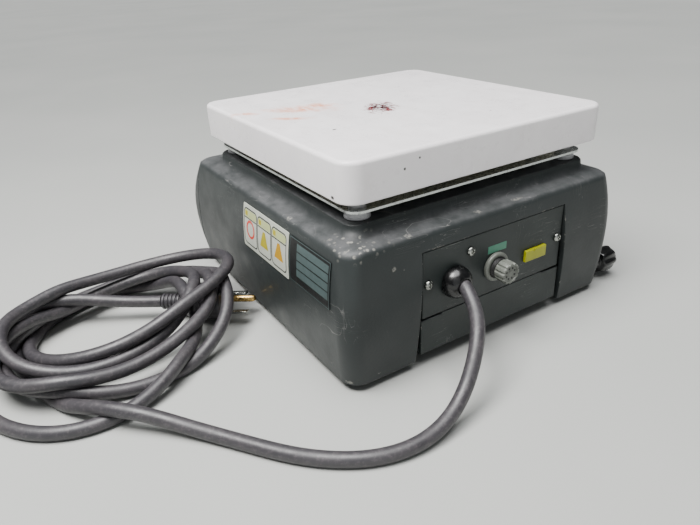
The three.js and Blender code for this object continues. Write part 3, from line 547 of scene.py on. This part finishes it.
def copper_finish():
    f = Finish("winding_copper", (168, 98, 62), 0.32, 0.9)
    turns = f.node("ShaderNodeTexWave", wave_type="BANDS", bands_direction="Z")
    f.link(f.moved(), turns.inputs["Vector"])
    turns.inputs["Scale"].default_value = 260
    turns.inputs["Distortion"].default_value = 0.6
    f.put("Base Color", f.blend(turns.outputs["Fac"], (104, 52, 34), (196, 124, 84)))
    f.bump(turns.outputs["Fac"], 0.3, 0.7)
    return f


def label_finish(name, tone, roughness=0.4, grime=0.3, metallic=0.0):
    f = Finish(name, tone, roughness, metallic)
    wear = f.spread(f.noise(120, 5, 0.7, seed=tone[0]), 0.42, 0.75)
    color = f.blend(f.math("MULTIPLY", wear, grime), tone, tuple(int(c * 0.62 + 12) for c in tone))
    f.put("Base Color", color)
    f.put("Roughness", f.spread(f.noise(200, 3, seed=4), 0.3, 0.7, roughness - 0.06, roughness + 0.12))
    f.bump(f.noise(240, 3, 0.6, seed=2), 0.05, 0.35)
    return f


def lens_finish():
    f = Finish("lens_red", (196, 44, 26), 0.12, specular_ior_level=0.6, transmission_weight=0.35, coat_weight=0.5)
    facets = f.cells(420, feature="DISTANCE_TO_EDGE")
    f.put("Base Color", f.blend(f.spread(facets, 0.0, 0.4), (150, 24, 16), (214, 60, 36)))
    f.bump(facets, 0.15, 0.5)
    return f


def build_finishes():
    return {
        "enamel": enamel_finish(),
        "housing_paint": paint_finish("housing_paint", (41, 46, 46), 0.6),
        "panel_paint": paint_finish("panel_paint", (36, 42, 41), 0.66, corner=False),
        "steel": metal_finish("steel", (196, 198, 198), 0.3, (1, 1, 12)),
        "shield_steel": metal_finish("shield_steel", (206, 210, 208), 0.24, (1, 14, 1)),
        "plated_steel": metal_finish("plated_steel", (186, 188, 182), 0.22),
        "brass": metal_finish("brass", (202, 168, 104), 0.26),
        "black_gloss": plastic_finish("black_gloss", (6, 6, 7), 0.26, 500, 0.03, 0.5, 0.1,
                                      coat_weight=0.25, coat_roughness=0.12),
        "black_matte": plastic_finish("black_matte", (17, 17, 18), 0.5, 1100, 0.05),
        "grey_plastic": plastic_finish("grey_plastic", (104, 107, 101), 0.36, 800, 0.03, 0.3, 0.3),
        "plug_plastic": plastic_finish("plug_plastic", (50, 48, 52), 0.42, 800, 0.04, 0.5, 0.3),
        "cord_jacket": cord_finish(),
        "foot_rubber": rubber_finish(),
        "mineral_pad": fibre_finish(),
        "copper": copper_finish(),
        "circuit_board": board_finish(),
        "ceramic": ceramic_finish(),
        "aluminium": metal_finish("aluminium", (206, 207, 210), 0.34, (1, 12, 1)),
        "tag_yellow": plastic_finish("tag_yellow", (158, 160, 0), 0.32, 700, 0.02, 0.3, 0.2),
        "label_white": label_finish("label_white", (186, 190, 178)),
        "label_black": label_finish("label_black", (7, 9, 9), 0.42, 0.3),
        "label_silver": label_finish("label_silver", (74, 90, 90), 0.4, 0.35, 0.2),
        "ink_black": label_finish("ink_black", (8, 8, 9), 0.45, 0.2),
        "ink_red": label_finish("ink_red", (205, 52, 34), 0.45, 0.2),
        "ink_amber": label_finish("ink_amber", (170, 158, 4), 0.45, 0.2),
        "ink_orange": label_finish("ink_orange", (184, 140, 2), 0.45, 0.2),
        "ink_header": label_finish("ink_header", (178, 186, 132), 0.45, 0.2),
        "ink_white": label_finish("ink_white", (228, 228, 222), 0.45, 0.2),
        "tape_green": label_finish("tape_green", (66, 128, 104), 0.35, 0.3),
        "lens_red": lens_finish(),
    }


# ---------------------------------------------------------------- building pieces
def finished(name, mesh, *finishes):
    piece = bpy.data.objects.new(name, mesh)
    for finish in finishes:
        mesh.materials.append(FINISH[finish].material)
    scene.collection.objects.link(piece)
    return piece


def smooth_shade(mesh, sharp=38):
    for polygon in mesh.polygons:
        polygon.use_smooth = True
    mesh.set_sharp_from_angle(angle=math.radians(sharp))


def place(piece, node, slot=None):
    """The piece rides where its CAD node rides and stands for it; the slot argument is not used."""
    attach(piece, BODY_OF.get(node, "root"))
    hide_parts(node)
    return piece


def dress(node, finish, slot=None, sharp=38):
    """A smooth-shaded copy of a CAD node's own mesh, flat faces joined, under a patterned finish."""
    mesh = NODES[node].data.copy()
    mesh.materials.clear()
    made = bmesh.new()
    made.from_mesh(mesh)
    bmesh.ops.remove_doubles(made, verts=made.verts, dist=2e-6)
    bmesh.ops.dissolve_limit(made, angle_limit=math.radians(0.6), verts=made.verts, edges=made.edges)
    bmesh.ops.recalc_face_normals(made, faces=made.faces)
    made.to_mesh(mesh)
    made.free()
    smooth_shade(mesh, sharp)
    piece = finished(node + "_finished", mesh, finish)
    weigh = piece.modifiers.new("even_normals", "WEIGHTED_NORMAL")
    weigh.keep_sharp = True
    return place(piece, node, slot or finish)


def soften(profile, radius, steps=4):
    """Rounds the corners of a profile by the radius, in mm."""
    rounded = [profile[0]]
    for before, corner, after in zip(profile, profile[1:], profile[2:]):
        p, a, b = Vector(corner), Vector(before), Vector(after)
        first, second = (a - p), (b - p)
        if first.length < 1e-6 or second.length < 1e-6 or first.angle(second) > math.radians(160):
            rounded.append(corner)
            continue
        cut = min(radius, 0.45 * first.length, 0.45 * second.length)
        start, end = p + first.normalized() * cut, p + second.normalized() * cut
        for i in range(steps + 1):
            t = i / steps
            rounded.append(tuple(start * (1 - t) ** 2 + p * 2 * t * (1 - t) + end * t * t))
    rounded.append(profile[-1])
    return rounded


def lathe(name, profile, origin, axis, finish, sides=72, radius=0.4, shape=None, sharp=50):
    """A turned piece. profile is (radius, height) in mm; shape(r, h, angle) may change the radius."""
    points = soften(profile, radius) if radius else profile
    upwards = Vector(axis).normalized()
    spin = upwards.to_track_quat("Z", "Y").to_matrix()
    base = at(*origin)
    made = bmesh.new()
    rings = []
    for r, h in points:
        if r < 1e-6:
            rings.append([made.verts.new(base + spin @ Vector((0, 0, h / 1000)))])
            continue
        ring = []
        for i in range(sides):
            a = 2 * math.pi * i / sides
            reach = shape(r, h, a) if shape else r
            ring.append(made.verts.new(base + spin @ Vector((reach * math.cos(a), reach * math.sin(a), h)) / 1000))
        rings.append(ring)
    for low, high in zip(rings, rings[1:]):
        for i in range(sides):
            k = (i + 1) % sides
            if len(low) == 1 and len(high) == 1:
                break
            if len(low) == 1:
                made.faces.new((low[0], high[k], high[i]))
            elif len(high) == 1:
                made.faces.new((low[i], low[k], high[0]))
            else:
                made.faces.new((low[i], low[k], high[k], high[i]))
    bmesh.ops.remove_doubles(made, verts=made.verts, dist=1e-7)
    bmesh.ops.recalc_face_normals(made, faces=made.faces)
    mesh = bpy.data.meshes.new(name)
    made.to_mesh(mesh)
    made.free()
    smooth_shade(mesh, sharp)
    return finished(name, mesh, finish)


def rounded_box(u0, v0, u1, v1, radius, steps=6):
    points = []
    for cu, cv, quarter in ((u1 - radius, v1 - radius, 0), (u0 + radius, v1 - radius, 1),
                            (u0 + radius, v0 + radius, 2), (u1 - radius, v0 + radius, 3)):
        for i in range(steps + 1):
            a = (quarter + i / steps) * math.pi / 2
            points.append((cu + radius * math.cos(a), cv + radius * math.sin(a)))
    return points


def circle(u, v, radius, steps=40):
    return [(u + radius * math.cos(2 * math.pi * i / steps), v + radius * math.sin(2 * math.pi * i / steps))
            for i in range(steps)]


def printed(name, film, layers, surface, finishes, slices=(), thick=0.35):
    """A thin film with printed shapes on it. film is its outline; each layer is (outline, hole or None,
    material number); surface(u, v, depth) gives the place; slices are the v levels where it bends."""
    made = bmesh.new()
    made_depth = made.verts.layers.float.new("depth")

    def sheet(outline, hole, number, depth):
        outer = [made.verts.new((u, v, 0)) for u, v in outline]
        if hole is None:
            faces = [made.faces.new(outer)]
        else:
            inner = [made.verts.new((u, v, 0)) for u, v in hole]
            n = len(outer)
            faces = [made.faces.new((outer[i], outer[(i + 1) % n], inner[(i + 1) % n], inner[i])) for i in range(n)]
        for face in faces:
            face.material_index = number
            for vert in face.verts:
                vert[made_depth] = depth

    base = [made.verts.new((u, v, 0)) for u, v in film]
    top = [made.verts.new((u, v, 0)) for u, v in film]
    for vert in top:
        vert[made_depth] = thick
    made.faces.new(list(reversed(base)))
    made.faces.new(top)
    n = len(film)
    for i in range(n):
        made.faces.new((base[i], base[(i + 1) % n], top[(i + 1) % n], top[i]))
    for k, (outline, hole, number) in enumerate(layers):
        sheet(outline, hole, number, thick + 0.03 + 0.002 * k)
    for level in slices:
        bmesh.ops.bisect_plane(made, geom=made.verts[:] + made.edges[:] + made.faces[:], dist=1e-6,
                               plane_co=(0, level, 0), plane_no=(0, 1, 0))
    for vert in made.verts:
        vert.co = surface(vert.co.x, vert.co.y, vert[made_depth])
    bmesh.ops.triangulate(made, faces=made.faces)
    mesh = bpy.data.meshes.new(name)
    made.to_mesh(mesh)
    made.free()
    smooth_shade(mesh, 30)
    return finished(name, mesh, *finishes)


# ---------------------------------------------------------------- the pieces
def bow(z):
    return 2.6 * ((46 - z) / 40) ** 2 if z < 46 else 4.4 * ((z - 46) / 38) ** 2


def side_wall(u, v, depth):
    """u runs along the +X wall towards -Y, v is the height."""
    return at(105.5 - bow(v) + 0.25 + depth, -u, v)


def make_safety_label():
    # three blank outlined cells, each with a plain header and one plain coloured shape
    low, high, left, right = 49, 77.6, -44.8, 18
    layers = []
    cell_width = 19.4
    for k in range(3):
        u0 = left + 2.2 + k * 20
        u1 = u0 + cell_width
        outer = rounded_box(u0, low + 2.2, u1, high - 2.2, 3.4)
        inner = rounded_box(u0 + 0.8, low + 3, u1 - 0.8, high - 3, 2.7)
        layers.append((outer, inner, 1))
        header = rounded_box(u0 + 1, high - 8.1, u1 - 1, high - 3.3, 2.1)
        layers.append((header, None, 4))
        layers.append(([(u0 + 0.3, high - 9), (u1 - 0.3, high - 9), (u1 - 0.3, high - 8.3), (u0 + 0.3, high - 8.3)],
                       None, 1))
        layers.append((rounded_box(u1 - 5.6, high - 7.3, u1 - 2, high - 4.3, 0.5), None, 3))
        middle = (u0 + u1) / 2
        if k == 2:
            layers.append((circle(middle, 62.2, 6.1), circle(middle, 62.2, 4.5), 2))
        else:
            wedge = [(middle - 5.8, 57), (middle + 5.8, 57), (middle + 1.5, 67.2), (middle - 1.5, 67.2)]
            layers.append((wedge, None, 3 if k == 1 else 5))
    film = rounded_box(left, low, right, high, 0.8)
    piece = printed("safety_sticker", film, layers, side_wall,
                    ("label_white", "ink_black", "ink_red", "ink_amber", "ink_header", "ink_orange"),
                    [low + 2 * i for i in range(1, 15)])
    place(piece, "safety_label", "label_white")


def make_data_plate():
    # black plate with a thin light rim and four blank silver rows
    low, high, left, right = 50.6, 77.2, -90.8, -46.4
    layers = [(rounded_box(left + 0.2, low + 0.2, right - 0.2, high - 0.2, 0.5),
               rounded_box(left + 0.6, low + 0.6, right - 0.6, high - 0.6, 0.4), 1)]
    rows = 4
    bottom, top = low + 4.6, high - 1.8
    pitch = (top - bottom) / rows
    for k in range(rows):
        v0 = bottom + k * pitch + 0.35
        layers.append((rounded_box(left + 1.8, v0, right - 8.6, v0 + pitch - 0.7, 0.15), None, 1))
    layers.append((rounded_box(left + 2.2, low + 1.9, right - 9, low + 3.2, 0.1), None, 2))
    piece = printed("data_plate_print", rounded_box(left, low, right, high, 0.5), layers, side_wall,
                    ("label_black", "label_silver", "ink_black"), [low + 2 * i for i in range(1, 14)])
    place(piece, "data_plate", "label_black")


def make_tape():
    def rear(u, v, depth):
        return at(-u, 103.6 + 0.02 + depth, v)
    piece = printed("blank_tape", rounded_box(-7.2, 58, 7.2, 62.6, 0.2), [], rear, ("tape_green",), thick=0.12)
    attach(piece, "root")


def make_gland():
    y = 103.9
    profile = [(0, -16), (5.4, -16), (6.6, -12), (6.9, -0.2), (9.4, 0), (9.6, 1.4), (9.3, 3.6), (8.4, 5.8),
               (7, 7.7), (5.5, 8.8), (4.6, 9.1), (4.4, 8.2), (0, 8.1)]
    piece = lathe("gland_bushing", profile, (32.6, y, 49.6), (0, 1, 0), "black_gloss", radius=0.9)
    return place(piece, "cable_gland", "black_gloss")


def make_fuse():
    x, y, z = 1.2, 103.6, 49
    neck = [(0, -46), (3, -46), (3.4, -38), (6.2, -36), (6.2, -8), (8.6, -8), (8.6, -1.9), (6.2, -1.9), (6.2, 2.7)]
    for k in range(4):
        neck += [(5.8, 3.0 + 0.66 * k), (6.25, 3.3 + 0.66 * k)]
    neck += [(5.9, 5.4), (4.5, 5.4), (4.5, -33), (0, -33)]
    place(lathe("fuse_socket", neck, (x, y, z), (0, 1, 0), "black_matte", radius=0.12), "fuse_holder")
    nut = [(6.6, 0.3), (8.9, 0.3), (9.0, 1.9), (8.6, 2.6), (7.9, 2.9), (6.6, 2.9), (6.6, 0.3)]
    place(lathe("fuse_ring", nut, (x, y, z), (0, 1, 0), "grey_plastic", radius=0.3), "fuse_nut")

    def ribs(r, h, a):
        if r < 5.8 or h < 5.8:
            return r
        wave = math.cos(12 * a)
        return r - 0.75 * max(0.0, -wave) ** 0.6 * min(1.0, (h - 5.8) / 0.6)
    cap = [(0, -0.8), (3.9, -0.8), (3.9, 5.5), (5.7, 5.5), (6.5, 6.3), (6.6, 7), (6.6, 9), (6.6, 12.2), (6.2, 13.2),
           (5, 13.4), (4.7, 12.6), (2, 12.5), (1.7, 12.8), (0, 12.8)]
    piece = lathe("fuse_cap_ribbed", cap, (x, y, z), (0, 1, 0), "grey_plastic", 144, 0.25, ribs)
    place(piece, "fuse_cap")
    # raised black dots paint the shade of the small dimples in the cap's face
    for k in range(8):
        a = 2 * math.pi * (k + 0.5) / 8
        dot = lathe(f"fuse_cap_dimple_shade_{k + 1}", [(0, 12.45), (0.55, 12.45), (0.55, 12.8), (0, 12.95)],
                    (x + 3.35 * math.cos(a), y, z + 3.35 * math.sin(a)), (0, 1, 0), "black_matte", 16, 0.15)
        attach(dot, "fuse_top")


def make_posts():
    for n, (sx, sy) in enumerate([(1, 1), (-1, 1), (-1, -1), (1, -1)]):
        post = [(2.7, 92.8), (7.2, 92.8), (7.2, 93.8), (6.9, 94.1), (6.9, 96.9), (4.9, 96.9), (4.9, 106.3), (2.7, 106.3),
                (2.7, 92.8)]
        piece = lathe(f"corner_post_{n + 1}", post, (79 * sx, 79 * sy, 0), (0, 0, 1), "ceramic", 48, 0.3)
        place(piece, f"standoff_{n + 1}", "ceramic")


def make_feet():
    for n, (sx, y) in enumerate([(1, 76), (-1, 76), (-1, -88), (1, -88)]):
        foot = [(2.5, 4.6), (5.4, 4.6), (5.4, 0), (8.2, 0), (9.4, 1.2), (9.3, 2), (8.6, 8.4), (2.5, 8.4), (2.5, 4.6)]
        piece = lathe(f"rubber_foot_{n + 1}", foot, (82 * sx, y, 0), (0, 0, 1), "foot_rubber", 48, 0.5)
        place(piece, f"foot_{n + 1}", "foot_rubber")


def make_clamp():
    origin = (-103.1, 91.5, 11.8)

    def lobes(r, h, a):
        if r < 7 or h < 9.4:
            return r
        return r - 0.9 * (0.5 - 0.5 * math.cos(8 * a)) * min(1.0, (h - 9.4) / 2)
    knob = [(2.7, 1.7), (5.2, 1.7), (5.2, 9), (8.4, 10.2), (9.2, 12.5), (9.2, 16), (9.2, 20), (8.4, 23), (6, 25), (3, 25.6),
            (0, 25.6)]
    place(lathe("thumb_knob", knob, origin, (-1, 0, 0), "black_gloss", 96, 0.8, lobes), "clamp_knob")
    shank = [(0, -16), (1.6, -16), (1.6, -14), (2.2, -14)]
    for k in range(26):
        shank += [(2.4, -13.4 + 0.8 * k), (2.05, -13.0 + 0.8 * k)]
    shank += [(2.3, 7.9), (0, 8)]
    place(lathe("thumb_screw_thread", shank, origin, (-1, 0, 0), "steel", 32, 0), "clamp_screw")


def make_controls():
    x, y, z = 38, -119.9, 42

    def flutes(r, h, a):
        if r < 14.8 or h < 5.2 or h > 15.6:
            return r
        return r - 0.55 * (0.5 - 0.5 * math.cos(30 * a))
    knob = [(3.3, 0.6), (18.5, 0.6), (19, 1.4), (19, 4), (17.4, 5), (17, 5.6), (16.4, 11), (16, 15.4),
            (15, 16.6), (12.6, 16.6), (12.3, 16.2), (0, 16.2)]
    place(lathe("dial_knob", knob, (x, y, z), (0, -1, 0), "black_gloss", 180, 0.5, flutes), "temperature_knob")
    cap = lathe("dial_knob_cap", [(0, 16.1), (12, 16.1), (12.1, 16.5), (11.6, 16.8), (0, 16.8)], (x, y, z), (0, -1, 0),
                "aluminium", 96, 0.2)
    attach(cap, "control_knob")

    def front(u, v, depth):
        return at(u, y - 0.02 - depth, v)

    pointer = printed("dial_pointer", rounded_box(x - 0.6, z + 12.6, x + 0.6, z + 16.6, 0.4), [],
                      lambda u, v, depth: at(u, y - 16.75 - depth if v < z + 12 else y - 16.4 - depth, v),
                      ("ink_white",), thick=0.1)
    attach(pointer, "control_knob")
    for k in range(11):
        a = math.radians(90 + 150 - 30 * k)
        along, across = Vector((math.cos(a), math.sin(a))), Vector((-math.sin(a), math.cos(a)))
        inner, outer, half = 20.4, 23.6 if k % 5 else 24.6, 0.35 if k % 5 else 0.5
        ends = ((inner, -1), (outer, -1), (outer, 1), (inner, 1))
        corners = [Vector((x, z)) + along * r + across * side * half for r, side in ends]
        mark = printed(f"dial_mark_{k + 1}", [tuple(c) for c in corners], [], front, ("ink_white",), thick=0.06)
        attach(mark, "root")
    ring = lathe("lamp_ring", [(4.2, 0.05), (6.6, 0.05), (6.6, 0.8), (5.4, 1.9), (4.2, 1.9), (4.2, 0.05)], (-4, y, 42),
                 (0, -1, 0), "plated_steel", 48, 0.3)
    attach(ring, "root")
    lens = [(0, -14), (3.4, -14), (4, -12), (4, 1.8), (3.5, 3), (2, 4), (0, 4.3)]
    place(lathe("lamp_dome", lens, (-4, y, 42), (0, -1, 0), "lens_red", 48, 0.5), "lamp_lens", "lens_red")


# ---------------------------------------------------------------- plug
def plug_matrix():
    return Matrix.Rotation(PLUG_HEADING, 3, "Z") @ Matrix.Rotation(PLUG_ROLL, 3, "X")


def make_plug():
    turn = plug_matrix()
    axis = turn @ Vector((1, 0, 0))
    profile = [(0, -41.6), (4.1, -41.6), (4.5, -41.3)]
    for k in range(5):
        h = -40.8 + 2.6 * k
        profile += [(5.25, h), (5.25, h + 1.4), (4.4, h + 1.7), (4.4, h + 2.3)]
    profile += [(5.8, -27.6), (8.6, -26.2), (11.5, -21), (12.5, -13), (12.5, -6), (12.4, -1.4), (11.7, 0), (0, 0)]

    def grips(r, h, a):
        if r < 11 or h < -21 or h > -3:
            return r
        return r - 0.25 * (0.5 - 0.5 * math.cos(24 * a))
    body = lathe("plug_moulding", profile, PLUG, axis, "plug_plastic", 96, 0.5, grips)
    place(body, "plug_body", "cord_jacket")
    pin_place = at(*PLUG) - at(0, 0, 0) + (turn @ Vector((0, 5.95, 0))) / 1000
    origin = [pin_place[i] * 1000 for i in range(3)]
    pin_profile = [(0, -3), (2.4, -3), (2.4, 18.2), (1.9, 19.8), (0.9, 20.6), (0, 20.6)]
    pin = lathe("plug_pin", pin_profile, origin, axis, "brass", 40, 0.3)
    place(pin, "plug_ground_pin", "brass")
    return [body, pin] + [dress(f"plug_blade_{k}", "plated_steel") for k in (1, 2)]


# ---------------------------------------------------------------- stage and light
def make_stage():
    made = bmesh.new()
    bmesh.ops.create_grid(made, x_segments=1, y_segments=1, size=9)
    mesh = bpy.data.meshes.new("floor")
    made.to_mesh(mesh)
    made.free()
    floor = bpy.data.objects.new("floor", mesh)
    f = Finish("floor_pale", (166, 168, 165), 0.75)
    f.put("Base Color", f.blend(f.spread(f.noise(3, 3, 0.5), 0.3, 0.7), (163, 165, 162), (170, 171, 168)))
    mesh.materials.append(f.material)
    scene.collection.objects.link(floor)

    world = bpy.data.worlds.new("studio")
    world.use_nodes = True
    world.node_tree.nodes["Background"].inputs["Color"].default_value = (0.82, 0.86, 0.88, 1)
    world.node_tree.nodes["Background"].inputs["Strength"].default_value = 0.12
    scene.world = world


def make_lights():
    sun = bpy.data.lights.new("ceiling", "SUN")
    sun.energy = 4.9
    sun.angle = math.radians(50)
    lamp = bpy.data.objects.new("ceiling", sun)
    lamp.rotation_euler = Vector((-0.12, -0.04, -1)).to_track_quat("-Z", "Y").to_euler()
    scene.collection.objects.link(lamp)
    lamps = [("key", (420, 60, 760), (40, 0, 60), 0.4, 10.0, (1.0, 0.985, 0.96)),
             ("fill", (420, 800, 380), (60, 20, 40), 0.9, 1.2, (0.95, 0.98, 1.0))]
    for name, place_mm, target, size, power, color in lamps:
        data = bpy.data.lights.new(name, "AREA")
        data.shape = "DISK"
        data.size = size
        data.energy = power
        data.color = color
        lamp = bpy.data.objects.new(name, data)
        lamp.location = at(*place_mm)
        lamp.rotation_euler = (at(*target) - lamp.location).to_track_quat("-Z", "Y").to_euler()
        scene.collection.objects.link(lamp)


# ---------------------------------------------------------------- putting it together
make_camera()
FINISH = build_finishes()
cord, line = make_cord(FINISH["cord_jacket"])
make_stage()
make_lights()

dress("top_plate", "enamel")
dress("housing", "housing_paint", sharp=42)
dress("front_bezel", "housing_paint", sharp=42)
dress("rear_panel", "panel_paint")
dress("base_plate", "panel_paint")
dress("heat_shield", "shield_steel", "steel")
dress("fuse_tag", "tag_yellow")
dress("control_panel", "black_matte")
dress("switch_body", "black_matte")
dress("power_rocker", "black_gloss")
dress("plate_sensor", "steel")
dress("thermostat_shaft", "steel")
for number in (1, 2, 3):
    dress(f"rear_screw_{number}", "plated_steel")
for number in (1, 2, 3, 4):
    dress(f"foot_screw_{number}", "steel")
make_safety_label()
make_data_plate()
make_tape()
gland = make_gland()
make_fuse()
make_posts()
make_feet()
make_clamp()
make_controls()
on_cord = make_plug()

# pieces inside keep their CAD mesh and get their own finish
INSIDE = {
    "heater_element": "steel", "heater_clamp_plate": "steel", "insulation_pad": "mineral_pad",
    "tie_screw_1": "steel", "tie_screw_2": "steel", "tie_screw_3": "steel", "tie_screw_4": "steel",
    "thermostat_body": "ceramic", "earth_terminal": "brass", "fuse_link": "grey_plastic",
    "clamp_pad": "brass", "transformer": "copper", "control_board": "circuit_board",
    "heat_sink": "aluminium", "terminal_block": "ceramic", "overheat_cutout": "black_gloss",
}
for node, finish in INSIDE.items():
    mesh = NODES[node].data
    if mesh.materials:
        mesh.materials[0] = FINISH[finish].material
    else:
        mesh.materials.append(FINISH[finish].material)

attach(cord, "root")
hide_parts("cord_coil", "cord_lead", "cord_tail")
